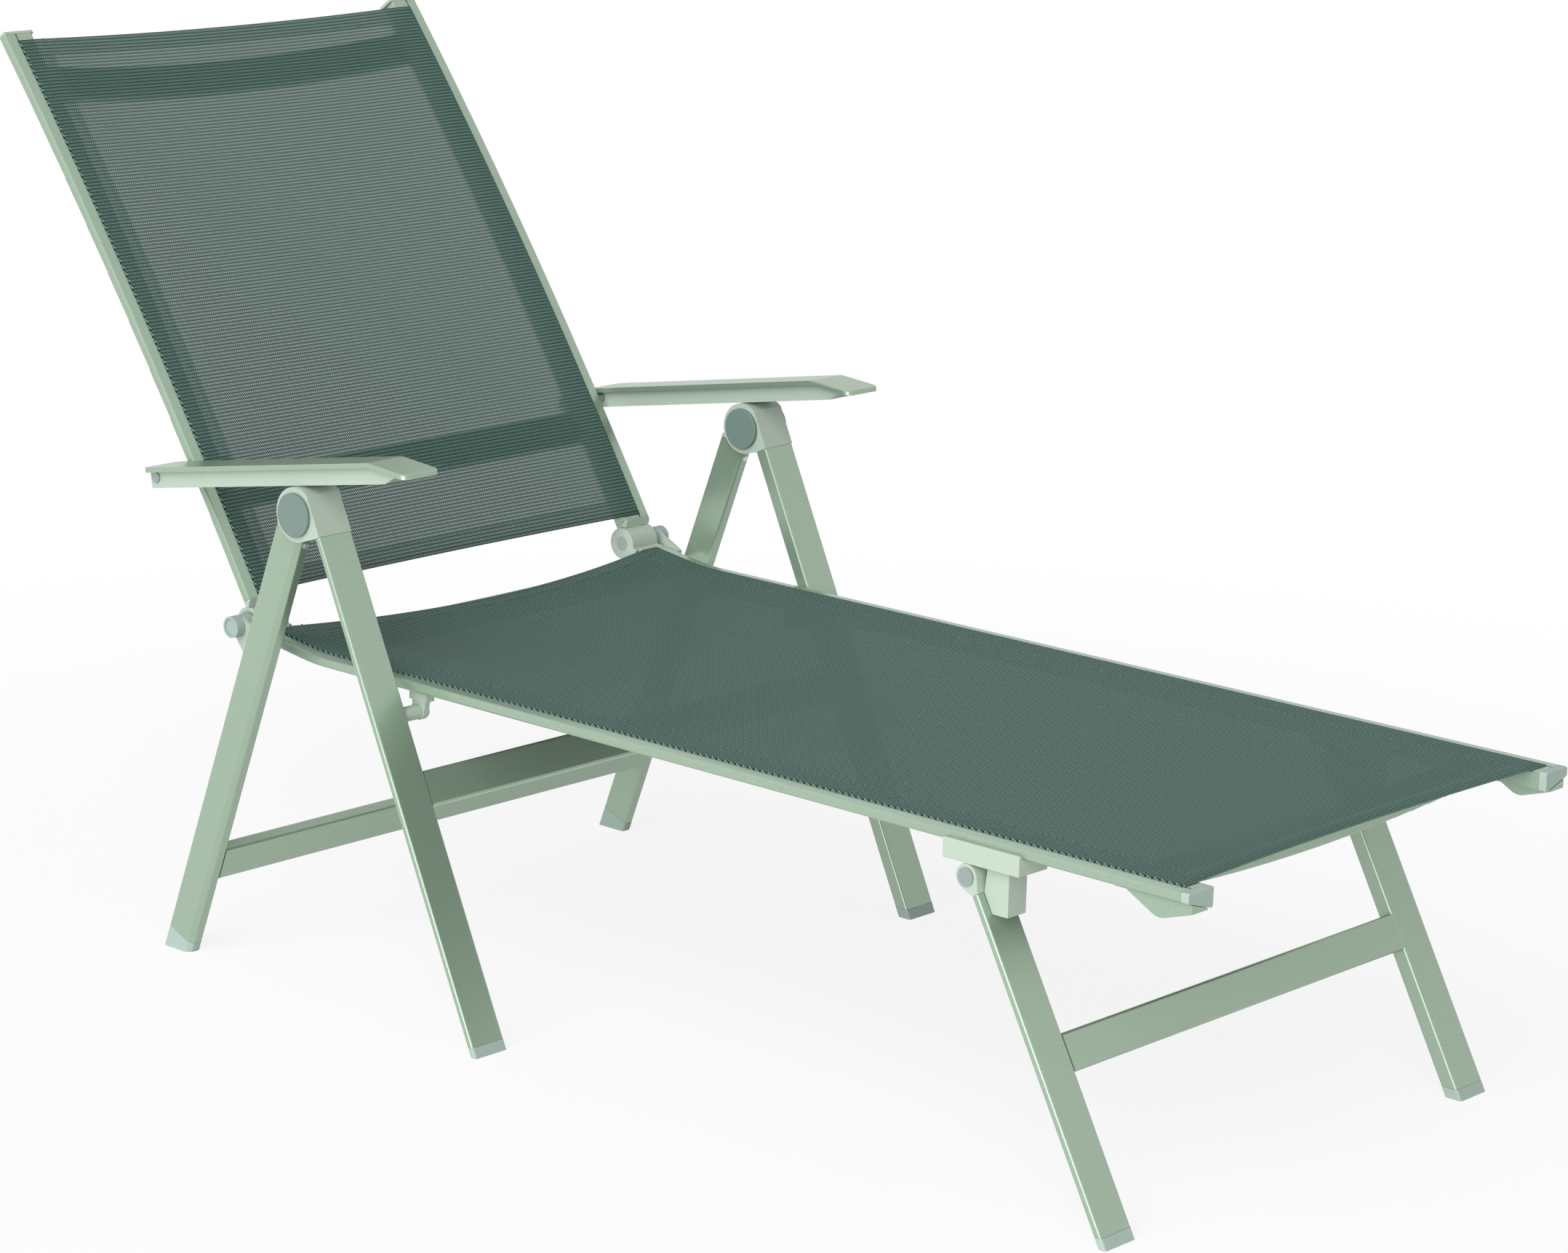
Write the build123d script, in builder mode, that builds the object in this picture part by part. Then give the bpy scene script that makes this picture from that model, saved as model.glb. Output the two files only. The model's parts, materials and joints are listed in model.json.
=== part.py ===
from build123d import *
import os
from math import atan2, cos, degrees, hypot, radians, sin, tan

# A folding sun lounger: an aluminium frame on three pairs of legs, with mesh slings, a reclining
# back and armrests. +X points to the foot end, +Z up, and the left side lies at -Y. The left pieces
# are drawn first and mirrored. A point of the side view is a pair (x, z).

# Overall sizes, in millimetres and degrees
seat_height = 339  # floor to the tops of the seat rails
seat_length = 1192.5  # back hinge to the foot end of the seat rails
frame_width = 580  # over the outer faces of the rails
back_length = 676  # back hinge to the top of the back
back_angle = 124.8  # direction of the back, from the foot end's direction

# Clearances and shared small sizes
fit = 0.3  # between pieces that lie on each other
running_fit = 0.05  # around pins
overrun = 2  # how far a cut passes its piece
stem_length = 16  # of a plug inside its tube
tube_wall = 1.8
tube_round = 2.5

# Rails: the outer face is low and the inner face deep, so the underside slopes
rail_width = 36
rail_outer_depth = 9.5
rail_inner_depth = 20
edge_strip = 13  # bare rail outside the sling
slot_width = 2.8
keder_radius = 1.6
foot_cap_length = 8
back_cap_length = 3
back_cap_overhang = 3

# Bend of the seat rails up to the hinge
bent_run = 97.5
hinge_rise = 13.7
bend_radius = 250
seat_rail_gap = 28  # hinge axis to the rear end of the seat rails

# Back rails: front face in front of the line from the hinge to the top
back_rail_start = 20
back_front_low = 16.8
back_front_top = 9.6
back_bow = 9

# Flat crossbars
bar_width = 36
bar_depth = 16
bar_round = 3
upper_bar_below = 58  # top of the back to the middle of the bar
lower_bar_station = 137  # back hinge to the middle of the bar
back_bar_bow = 30
back_bar_inset = 12  # behind the front face of the rails, to the middle of the bar's ends
foot_bar_place = 88  # foot end to the middle of the bar
foot_bar_drop = 13.5  # below the rails' tops, at its ends
foot_bar_dip = 20
foot_bar_set_back = 15
seat_bar_place = 62  # hinge axis to the middle of the rear seat crossbar
seat_bar_drop = 13

# Hinge of the back
barrel_radius = 17
barrel_inset = 4  # inner end of the barrel beyond the rail's inner face
barrel_clearance = 0.4
barrel_arm = 22  # hinge axis to the section in which the barrel joins the rail
ear_width = 12.5
ear_gap = 0.4
hinge_pin_radius = 8
hinge_bush_radius = 13.5  # the steel bush on which the back turns
hinge_bush_wall = 3
knob_radius = 11
knob_length = 24
knob_rim = 2.3
knob_cup = 1.5
knob_stem = 4
gusset_thickness = 4
gusset_offset = 8
gusset_run = 42
gusset_drop = 28
neck_bevel = 41  # lets the back fold forward over the rails

# Front legs
front_leg_angle = 115.06
front_leg_offset = 9  # outside the rails
front_leg_width = 42.6
front_leg_inner_depth = 16
front_leg_outer_depth = 6.5
leg_pivot_ahead = 234.5
leg_pivot_drop = 34  # below the tops of the seat rails
leg_pivot_inset = 10.3
disc_pivot_up = 216
disc_pivot_inset = 24.2
front_seam_below = 29.6
front_bar_below = 76.4
head_web_rear = 13.2  # rear face of the web between the cheeks, ahead of the disc pivot
foot_height = 10

# Rear legs
rear_leg_angle = 69.6
rear_leg_offset = 12.8  # outside the front legs' inner faces
rear_leg_width = 15.8
rear_leg_depth = 36
rear_leg_bevel = 5
rear_leg_inset = 1.4
rear_seam_below = 29
rear_bar_below = 421
rear_lug_radius = 17
lug_gap = 0.6
rear_foot_rise = 17

# End legs
end_leg_angle = 118.6
end_leg_offset = 3.2  # inside the rails' inner faces
end_leg_width = 42.9
end_leg_inner_depth = 17
end_leg_outer_depth = 7
end_pivot_back = 239
end_pivot_drop = 37.5
end_leg_inset = 5.3
eye_radius = 11.8
end_seam_below = 18
end_bar_below = 174

# Pivots of the legs
disc_radius = 22
disc_thickness = 3.8
disc_round = 1
disc_pin_radius = 6
disc_pin_end = 2  # how far the pin goes into each disc
leg_pin_radius = 5
leg_pin_head = 7.5
leg_pin_head_thickness = 1.6
spacer_radius = 7.5
pivot_plate_offset = 14  # outside the rails' inner faces
pivot_plate_thickness = 6.5
pivot_plate_run = 12
pivot_plate_radius = 8.5
pivot_pad_margin = 2
pivot_pad_thickness = 4
end_pin_radius = 5
end_cap_radius = 8.5
end_cap_thickness = 1.6
screw_radius = 3
screw_shank_radius = 1.5
screw_length = 8
screw_head = 1.4
screw_below_seam = 10

# End leg brackets under the seat rails
block_rear = 267
block_length = 87
block_height = 19
block_lip = 3.7
block_inset = 1
lug_width = 15
lug_radius = 11
lug_clearance = 1
wedge_inset = 6  # outside the rails' inner faces
wedge_setback = 9  # inside the block's outer face
wedge_front = 198
wedge_drop = 43
wedge_top_gap = 5

# Gussets at the foot end
keel_inner_inset = 8
keel_outer_inset = 6
keel_length = 73
keel_vertex = 35.5
keel_drop = 31
keel_lip = 1.5  # below the rails' outer edge, where the gussets start
keel_round = 18

# Armrests
armrest_angle = 9.87
armrest_offset = 4  # outside the rails
armrest_width = 49
armrest_rear = 12
armrest_crease = 326
armrest_tip = 376
armrest_top = 10.8
armrest_fall = 13
armrest_plate = 5
armrest_side_round = 8
armrest_edge_round = 1.6
base_offset = 8  # outside the armrest plate's inner edge
base_width = 33
base_wall = 4
base_depth = 11  # armrest pin to the underside
rack_gap = 0.5  # over the leg heads
base_rear = 9
base_front = 340
base_nose = 360
armrest_pin_station = 166.9
armrest_pin_inset = 12
armrest_pin_radius = 3.8
sleeve_radius = 5.4
rivet_radius = 5.4
rivet_head = 1.8
armrest_nut_radius = 8.8  # inside the back rails, clear of the sling
armrest_nut_thickness = 10

# Slings
sling_thickness = 1.6
seat_sling_end = 15  # foot end of the rails to the foot hem
back_sling_low = 24  # back hinge to the low hem
back_sling_gap = 12  # top of the back to the top hem

# Distances from the middle plane
rail_outer = frame_width / 2
rail_inner = rail_outer - rail_width
sling_edge = rail_outer - edge_strip
lip_center = sling_edge - slot_width / 2
barrel_inner = rail_inner - barrel_inset
knuckle_inner = barrel_inner + ear_width + ear_gap
knuckle_outer = knuckle_inner + ear_width
barrel_outer = knuckle_outer + ear_gap + ear_width
gusset_inner = rail_outer + gusset_offset
knob_inner = barrel_outer + fit
front_leg_inner = rail_outer + front_leg_offset
front_leg_outer = front_leg_inner + front_leg_width
rear_leg_inner = front_leg_inner + rear_leg_offset
rear_leg_outer = rear_leg_inner + rear_leg_width
end_leg_inner = rail_inner - end_leg_offset
end_leg_outer = end_leg_inner + end_leg_width
lug_inner = (end_leg_inner + end_leg_outer - lug_width) / 2
lug_outer = lug_inner + lug_width
pivot_plate_inner = rail_inner + pivot_plate_offset
pivot_plate_outer = pivot_plate_inner + pivot_plate_thickness
armrest_inner = rail_outer + armrest_offset
base_inner = armrest_inner + base_offset
base_outer = base_inner + base_width


def step(point, angle, distance, ahead=0):
    """Move along a direction of the side view, and to its right, which is ahead of an upright piece."""
    turn = radians(angle)
    return (point[0] + distance * cos(turn) + ahead * sin(turn),
            point[1] + distance * sin(turn) - ahead * cos(turn))


def side(outward):
    """The side view's plane, at a distance from the middle; it extrudes outwards on the left."""
    return Plane(origin=(0, -outward, 0), x_dir=(1, 0, 0), z_dir=(0, -1, 0))


def across(point, angle):
    """A plane square to a direction of the side view; x is outwards on the left, y ahead."""
    turn = radians(angle)
    return Plane(origin=(point[0], 0, point[1]), x_dir=(0, -1, 0), z_dir=(cos(turn), 0, sin(turn)))


def facing(point, angle):
    """A plane along a direction of the side view that faces ahead, with x along the direction."""
    turn = radians(angle)
    return Plane(origin=(point[0], 0, point[1]), x_dir=(cos(turn), 0, sin(turn)), z_dir=(sin(turn), 0, -cos(turn)))


def in_middle(point):
    """A point of the side view, in the middle plane."""
    return (point[0], 0, point[1])


def back_front(station):
    """How far the back's front face stands ahead of the line from the hinge to its top."""
    share = (station - back_rail_start) / (back_length - back_rail_start)
    chord = back_front_low + (back_front_top - back_front_low) * share
    return chord + 4 * back_bow * share * (1 - share)


# Places in the side view; the origin is under the middle of the overall length
upper_bar_station = back_length - upper_bar_below
bar_top_station = upper_bar_station + bar_width / 2 - bar_round
bar_rear = back_bar_bow + bar_depth / 2 - bar_round + back_bar_inset - back_front(upper_bar_station)
back_reach = bar_round - bar_top_station * cos(radians(back_angle)) + bar_rear * sin(radians(back_angle))
hinge = ((back_reach - seat_length) / 2, seat_height + hinge_rise)
foot_end = hinge[0] + seat_length
bend_angle = degrees(atan2(hinge_rise, bent_run))
leg_pivot = (hinge[0] + leg_pivot_ahead, seat_height - leg_pivot_drop)
disc_pivot = step(leg_pivot, front_leg_angle, disc_pivot_up, leg_pivot_inset - disc_pivot_inset)
end_pivot = (foot_end - end_pivot_back, seat_height - end_pivot_drop)
armrest_pivot = step(hinge, back_angle, armrest_pin_station, armrest_pin_inset)
pin_to_disc = (armrest_pivot[0] - disc_pivot[0], armrest_pivot[1] - disc_pivot[1])
armrest_turn = radians(armrest_angle)
head_below_pin = pin_to_disc[1] * cos(armrest_turn) - pin_to_disc[0] * sin(armrest_turn)
head_radius = head_below_pin - base_depth - rack_gap

# The legs' front faces, beside their pivots, and the seams under their heads
front_face = step(leg_pivot, front_leg_angle, 0, leg_pivot_inset)
front_seam = step(front_face, front_leg_angle, disc_pivot_up - front_seam_below)
rear_face = step(disc_pivot, rear_leg_angle, 0, rear_leg_inset)
rear_seam = step(rear_face, rear_leg_angle, -rear_seam_below)
end_face = step(end_pivot, end_leg_angle, 0, end_leg_inset)
end_seam = step(end_face, end_leg_angle, -end_seam_below)
flat_seam = Plane(origin=(0, 0, foot_height), z_dir=(0, 0, 1))
rear_toe = rear_face[0] - (rear_face[1] - foot_height) / tan(radians(rear_leg_angle))
rear_foot_run = rear_leg_depth / sin(radians(rear_leg_angle))
slanted_seam = Plane(origin=(rear_toe, 0, foot_height), z_dir=(rear_foot_rise, 0, rear_foot_run))


def write(piece, name):
    """Label a piece and write its file."""
    piece.part.label = name
    export_step(piece.part, f"parts/{name}.step")


def write_pair(left, name):
    """Write a left piece and its mirror image as two files."""
    with BuildPart() as right:
        mirror(left.part, about=Plane.XZ)
    write(left, f"{name}_left")
    write(right, f"{name}_right")


def write_group(left, name):
    """Write a left piece and its mirror image as one file."""
    with BuildPart() as group:
        add(left.part)
        mirror(left.part, about=Plane.XZ)
    write(group, name)


def disc(center, radius, start, end, mode=Mode.ADD):
    """A round along Y, between two distances from the middle plane."""
    with BuildSketch(side(start)) as outline:
        with Locations(center):
            Circle(radius)
    extrude(outline.sketch, amount=end - start, mode=mode)


def plate(points, start, end, mode=Mode.ADD):
    """A flat piece with a side view outline, between two distances from the middle plane."""
    with BuildSketch(side(start)) as outline:
        Polygon(*points, align=None)
    extrude(outline.sketch, amount=end - start, mode=mode)


def hull(center, radius, points, start, end, mode=Mode.ADD):
    """A flat piece whose outline wraps a circle and some points."""
    with BuildSketch(side(start)) as outline:
        with BuildLine():
            CenterArc(center, radius, 0, 360)
            Polyline(*points)
        make_hull()
    extrude(outline.sketch, amount=end - start, mode=mode)


def wedge_section(plane, inner, width, inner_depth, outer_depth, inset=0):
    """A section with a flat face ahead, deep on the inside and low on the outside."""
    corners = ((inner, 0), (inner + width, 0), (inner + width, -outer_depth), (inner, -inner_depth))
    with BuildSketch(plane) as section:
        Polygon(*corners, align=None)
        fillet(section.vertices(), radius=tube_round)
        if inset:
            offset(amount=-inset, mode=Mode.REPLACE)
    return section.sketch


def rail_section(plane, inset=0):
    """The section shared by the rails of the seat and of the back."""
    return wedge_section(plane, rail_inner, rail_width, rail_inner_depth, rail_outer_depth, inset)


def front_section(plane, inset=0):
    """The section of the front legs."""
    return wedge_section(plane, front_leg_inner, front_leg_width, front_leg_inner_depth,
                         front_leg_outer_depth, inset)


def end_section(plane, inset=0):
    """The section of the end legs."""
    return wedge_section(plane, end_leg_inner, end_leg_width, end_leg_inner_depth, end_leg_outer_depth, inset)


def rear_section(plane, inset=0):
    """The narrow section of the rear legs, bevelled at the front of its outer face."""
    corners = ((rear_leg_inner, 0), (rear_leg_outer - rear_leg_bevel, 0), (rear_leg_outer, -rear_leg_bevel),
               (rear_leg_outer, -rear_leg_depth), (rear_leg_inner, -rear_leg_depth))
    with BuildSketch(plane) as section:
        Polygon(*corners, align=None)
        fillet(section.vertices(), radius=tube_round)
        if inset:
            offset(amount=-inset, mode=Mode.REPLACE)
    return section.sketch


def seat_line(foot_gap, rear_gap):
    """The line of the seat rails' tops, from the foot end to the hinge."""
    points = ((foot_end - foot_gap, seat_height), (hinge[0] + bent_run, seat_height),
              step(hinge, -bend_angle, rear_gap))
    with BuildLine() as line:
        FilletPolyline(*(in_middle(point) for point in points), radius=bend_radius)
    return line.line


def back_line(low, top):
    """The line of the back rails' front faces, between two stations above the hinge."""
    stations = (low, (low + top) / 2, top)
    points = (step(hinge, back_angle, station, back_front(station)) for station in stations)
    with BuildLine() as line:
        ThreePointArc(*(in_middle(point) for point in points))
    return line.line


def line_plane(line, share=0):
    """The plane square to a line at a share of its length; x is outwards on the left, y on the sling's side."""
    return Plane(origin=line @ share, x_dir=(0, -1, 0), z_dir=line % share)


def rail(line):
    """A hollow rail with a slot for the sling."""
    plane = line_plane(line)
    sweep(rail_section(plane), path=line)
    sweep(rail_section(plane, tube_wall), path=line, mode=Mode.SUBTRACT)
    with BuildSketch(plane) as slot:
        with Locations((lip_center, 0)):
            Rectangle(slot_width, 2 * (tube_wall + fit))
    sweep(slot.sketch, path=line, mode=Mode.SUBTRACT)


def keder(line):
    """The rod that holds the sling's edge inside a rail."""
    with BuildSketch(line_plane(line)) as section:
        with Locations((lip_center, -tube_wall - fit - keder_radius)):
            Circle(keder_radius)
    sweep(section.sketch, path=line)


def sling(line):
    """The sling, with an edge that goes down into each rail's slot."""
    edge = lip_center + sling_thickness / 2
    inner_edge = edge - sling_thickness
    top = fit + sling_thickness
    corners = ((-edge, top), (-edge, -tube_wall), (-inner_edge, -tube_wall), (-inner_edge, fit),
               (inner_edge, fit), (inner_edge, -tube_wall), (edge, -tube_wall), (edge, top))
    with BuildSketch(line_plane(line)) as section:
        Polygon(*corners, align=None)
    sweep(section.sketch, path=line)


def bar_section(plane):
    """The hollow section of the crossbars, wide along the plane's x."""
    with BuildSketch(plane) as section:
        RectangleRounded(bar_width, bar_depth, bar_round)
        offset(amount=-tube_wall, mode=Mode.SUBTRACT)
    return section.sketch


def bowed_bar(center, angle, bow_angle, bow):
    """A crossbar between the rails, bowed in one direction of the side view."""
    end = rail_inner + bar_depth
    middle = step(center, bow_angle, bow)
    with BuildLine() as line:
        ThreePointArc((center[0], end, center[1]), in_middle(middle), (center[0], -end, center[1]))
    turn = radians(angle)
    start = Plane(origin=line.line @ 0, x_dir=(cos(turn), 0, sin(turn)), z_dir=line.line % 0)
    sweep(bar_section(start), path=line.line)
    split(bisect_by=side(rail_inner - fit), keep=Keep.BOTTOM)
    split(bisect_by=side(fit - rail_inner), keep=Keep.TOP)


def straight_bar(center, angle, reach):
    """A crossbar between two faces, wide along a direction of the side view."""
    turn = radians(angle)
    start = Plane(origin=(center[0], reach - fit, center[1]), x_dir=(cos(turn), 0, sin(turn)), z_dir=(0, -1, 0))
    extrude(bar_section(start), amount=2 * (reach - fit))


def leg_reach(seam, angle):
    """A length that takes a leg from its upper seam past the floor."""
    return (seam[1] + rear_leg_depth) / sin(radians(angle))


def leg_tube(section, seam, angle, foot_seam):
    """A hollow leg, from the seam under its head down to the seam over its foot."""
    plane = across(step(seam, angle, -fit), angle)
    extrude(section(plane), amount=-leg_reach(seam, angle))
    extrude(section(plane, tube_wall), amount=-leg_reach(seam, angle), mode=Mode.SUBTRACT)
    split(bisect_by=foot_seam.offset(fit), keep=Keep.TOP)


def leg_foot(section, seam, angle, foot_seam):
    """A foot, flat on the floor, with a stem that goes up into its leg."""
    plane = across(seam, angle)
    with BuildPart() as stem:
        extrude(section(plane, tube_wall + fit), amount=-leg_reach(seam, angle))
        split(bisect_by=foot_seam, keep=Keep.TOP)
        split(bisect_by=foot_seam.offset(stem_length), keep=Keep.BOTTOM)
    extrude(section(plane), amount=-leg_reach(seam, angle))
    split(bisect_by=foot_seam, keep=Keep.BOTTOM)
    split(bisect_by=Plane.XY, keep=Keep.TOP)
    add(stem.part)


def upper_stem(section, seam, angle):
    """The stem under a leg's head, inside the leg."""
    extrude(section(across(seam, angle), tube_wall + fit), amount=-stem_length)


os.makedirs("parts", exist_ok=True)

# Seat rails and their caps
with BuildPart() as seat_rail:
    rail(seat_line(foot_cap_length + fit, seat_rail_gap + fit))
write_pair(seat_rail, "seat_rail")

with BuildPart() as seat_rail_cap:
    cap_plane = across((foot_end - foot_cap_length, seat_height), 180)
    extrude(rail_section(cap_plane), amount=-foot_cap_length)
    fillet(seat_rail_cap.edges().group_by(Axis.X)[-1], radius=tube_round / 2)
    extrude(rail_section(cap_plane, tube_wall + fit), amount=stem_length)
write_pair(seat_rail_cap, "seat_rail_cap")

# Hinge brackets: two ears on each rail's end, and the gusset that carries the knob
rail_end = step(hinge, -bend_angle, seat_rail_gap)
arm_top = step(hinge, -bend_angle, barrel_arm)
slope = (rail_inner_depth - rail_outer_depth) / rail_width
gusset_foot = step(hinge, -bend_angle, gusset_run)
with BuildPart() as hinge_bracket:
    tail_plane = across(rail_end, 180 - bend_angle)
    extrude(rail_section(tail_plane), amount=seat_rail_gap)
    extrude(rail_section(tail_plane, tube_wall + fit), amount=-stem_length)
    disc(hinge, barrel_radius + barrel_clearance, barrel_inner, rail_outer + fit, mode=Mode.SUBTRACT)
    for start, end in ((barrel_inner, barrel_inner + ear_width), (knuckle_outer + ear_gap, barrel_outer)):
        depth = rail_inner_depth - slope * (end - rail_inner)
        hull(hinge, barrel_radius, (arm_top, step(arm_top, 180 - bend_angle, 0, -depth)), start, end)
    plate((hinge, rail_end, step(rail_end, 180 - bend_angle, 0, barrel_radius),
           step(hinge, 180 - bend_angle, 0, barrel_radius)), barrel_inner, rail_outer, mode=Mode.SUBTRACT)
    for start, end in ((barrel_inner, barrel_inner + ear_width), (knuckle_outer + ear_gap, barrel_outer)):
        disc(hinge, barrel_radius, start, end)
    disc(hinge, hinge_pin_radius + running_fit, barrel_inner, rail_outer + fit, mode=Mode.SUBTRACT)
    disc(hinge, hinge_bush_radius + running_fit, barrel_inner + hinge_bush_wall, rail_outer + fit,
         mode=Mode.SUBTRACT)
    hull(hinge, knob_radius, (step(gusset_foot, -bend_angle, 0, tube_round),
                              step(gusset_foot, -bend_angle, 0, rail_outer_depth),
                              (hinge[0] + gusset_offset, hinge[1] - gusset_drop)),
         gusset_inner, gusset_inner + gusset_thickness)
    plate((step(rail_end, -bend_angle, -gusset_offset, tube_round),
           step(gusset_foot, -bend_angle, 0, tube_round),
           step(gusset_foot, -bend_angle, 0, rail_outer_depth),
           step(rail_end, -bend_angle, -gusset_offset, rail_outer_depth)), rail_outer + fit, gusset_inner)
    plate((step(rail_end, -bend_angle, -gusset_offset, tube_round),
           step(rail_end, -bend_angle, 0, tube_round),
           step(rail_end, -bend_angle, 0, rail_outer_depth - tube_round),
           step(rail_end, -bend_angle, -gusset_offset, rail_outer_depth - tube_round)),
          rail_outer - tube_round, rail_outer + gusset_thickness)
    disc(hinge, knob_radius, gusset_inner - fit, gusset_inner + gusset_thickness + fit, mode=Mode.SUBTRACT)
write_pair(hinge_bracket, "hinge_bracket")

with BuildPart() as hinge_knob:
    disc(hinge, knob_radius, knob_inner, knob_inner + knob_length)
    disc(hinge, knob_radius - knob_rim, knob_inner + knob_length - knob_cup, knob_inner + knob_length,
         mode=Mode.SUBTRACT)
    disc(hinge, hinge_pin_radius - fit, knob_inner - knob_stem, knob_inner)
write_group(hinge_knob, "hinge_knobs")

with BuildPart() as hinge_pin:
    disc(hinge, hinge_pin_radius, barrel_inner, knob_inner - knob_stem - fit)
write_group(hinge_pin, "hinge_pins")

with BuildPart() as hinge_bush:
    disc(hinge, hinge_bush_radius, barrel_inner + hinge_bush_wall + fit, barrel_outer)
    disc(hinge, hinge_pin_radius + running_fit, barrel_inner, barrel_outer, mode=Mode.SUBTRACT)
write_group(hinge_bush, "hinge_bushes")

# Brackets that carry the front legs
with BuildPart() as leg_pivot_bracket:
    pad_rear = leg_pivot[0] - pivot_plate_radius
    pad_front = leg_pivot[0] + pivot_plate_run
    under_rail = seat_height - rail_inner_depth - fit
    plate_top = seat_height - rail_outer_depth
    hull(leg_pivot, pivot_plate_radius, ((pad_rear, plate_top), (pad_front, plate_top)),
         pivot_plate_inner, pivot_plate_outer)
    plate(((pad_rear - pivot_pad_margin, under_rail - pivot_pad_thickness / 2),
           (pad_front + pivot_pad_margin, under_rail - pivot_pad_thickness / 2),
           (pad_front + pivot_pad_margin, plate_top), (pad_rear - pivot_pad_margin, plate_top)),
          pivot_plate_inner - pivot_pad_margin, pivot_plate_outer + pivot_pad_margin)
    pad_plane = across((foot_end, seat_height), 180)
    extrude(rail_section(pad_plane, -fit), amount=seat_length, mode=Mode.SUBTRACT)
    disc(leg_pivot, spacer_radius, pivot_plate_outer, front_leg_inner - fit)
    disc(leg_pivot, leg_pin_radius + running_fit, pivot_plate_inner, front_leg_inner, mode=Mode.SUBTRACT)
write_pair(leg_pivot_bracket, "leg_pivot_bracket")

# Brackets that carry the end legs, each with a wedge that stops its leg
with BuildPart() as end_leg_bracket:
    block_bottom = end_pivot[1] + eye_radius + fit
    block_top = block_bottom + block_height
    block_back = foot_end - block_rear
    wedge_toe = foot_end - wedge_front
    wedge_bottom = block_bottom - wedge_drop
    wedge_back = step(end_face, end_leg_angle, (wedge_bottom - end_face[1]) / sin(radians(end_leg_angle)), 0)
    wedge_heel = step(end_seam, end_leg_angle, 0, fit + fit)
    plate(((block_back, block_bottom), (block_back + block_length, block_bottom),
           (block_back + block_length, block_top), (block_back, block_top)),
          rail_inner + block_inset, rail_outer + block_lip)
    extrude(rail_section(across((foot_end, seat_height), 180), -fit), amount=seat_length, mode=Mode.SUBTRACT)
    hull(end_pivot, lug_radius, ((end_pivot[0] - lug_radius, block_bottom + fit),
                                 (end_pivot[0] + lug_radius, block_bottom + fit)), lug_inner, lug_outer)
    plate(((end_pivot[0] + eye_radius + wedge_top_gap, block_bottom), (wedge_toe, block_bottom),
           (wedge_toe, wedge_bottom), (wedge_back[0] + fit + fit, wedge_bottom), wedge_heel),
          rail_inner + wedge_inset, rail_outer + block_lip - wedge_setback)
    disc(end_pivot, end_pin_radius + running_fit, lug_inner, lug_outer, mode=Mode.SUBTRACT)
write_pair(end_leg_bracket, "end_leg_bracket")

# Gussets at the foot end
with BuildPart() as foot_gusset:
    keel_top = seat_height - rail_outer_depth
    with BuildSketch(side(rail_inner + keel_inner_inset)) as keel_outline:
        Polygon((foot_end - keel_length, keel_top), (foot_end - keel_length, keel_top - keel_lip),
                (foot_end - keel_vertex, seat_height - keel_drop), (foot_end, seat_height - rail_inner_depth + fit),
                (foot_end, keel_top), align=None)
        fillet(keel_outline.vertices().sort_by(Axis.Y)[0], radius=keel_round)
    extrude(amount=rail_width - keel_inner_inset - keel_outer_inset)
    extrude(rail_section(across((foot_end + fit, seat_height), 180), -fit), amount=seat_length,
            mode=Mode.SUBTRACT)
write_group(foot_gusset, "foot_gussets")

# Crossbars of the seat
with BuildPart() as foot_crossbar:
    foot_bar = (foot_end - foot_bar_place, seat_height - foot_bar_drop)
    bow_angle = degrees(atan2(-foot_bar_dip, -foot_bar_set_back))
    bowed_bar(foot_bar, 0, bow_angle, hypot(foot_bar_dip, foot_bar_set_back))
write(foot_crossbar, "foot_crossbar")

with BuildPart() as rear_seat_crossbar:
    seat_bar = step(hinge, -bend_angle, seat_bar_place, seat_bar_drop)
    straight_bar(seat_bar, -bend_angle, rail_inner)
write(rear_seat_crossbar, "rear_seat_crossbar")

# Seat sling
with BuildPart() as seat_sling:
    sling(seat_line(seat_sling_end, seat_rail_gap + fit + fit))
write(seat_sling, "seat_sling")

with BuildPart() as seat_keder:
    keder(seat_line(foot_cap_length + stem_length + fit, seat_rail_gap + stem_length + fit))
write_group(seat_keder, "seat_keders")

# Back rails and their caps
with BuildPart() as back_rail:
    rail(back_line(back_rail_start + fit, back_length - back_cap_length - fit))
    disc(armrest_pivot, armrest_pin_radius + running_fit, rail_inner - overrun, rail_outer + overrun,
         mode=Mode.SUBTRACT)
write_pair(back_rail, "back_rail")

whole_back = back_line(back_rail_start, back_length - back_cap_length)
with BuildPart() as back_cap:
    top_plane = line_plane(whole_back, 1)
    extrude(wedge_section(top_plane, rail_inner - back_cap_overhang, rail_width + back_cap_overhang,
                          rail_inner_depth, rail_outer_depth), amount=back_cap_length)
    extrude(rail_section(top_plane, tube_wall + fit), amount=-stem_length)
write_pair(back_cap, "back_cap")

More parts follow.
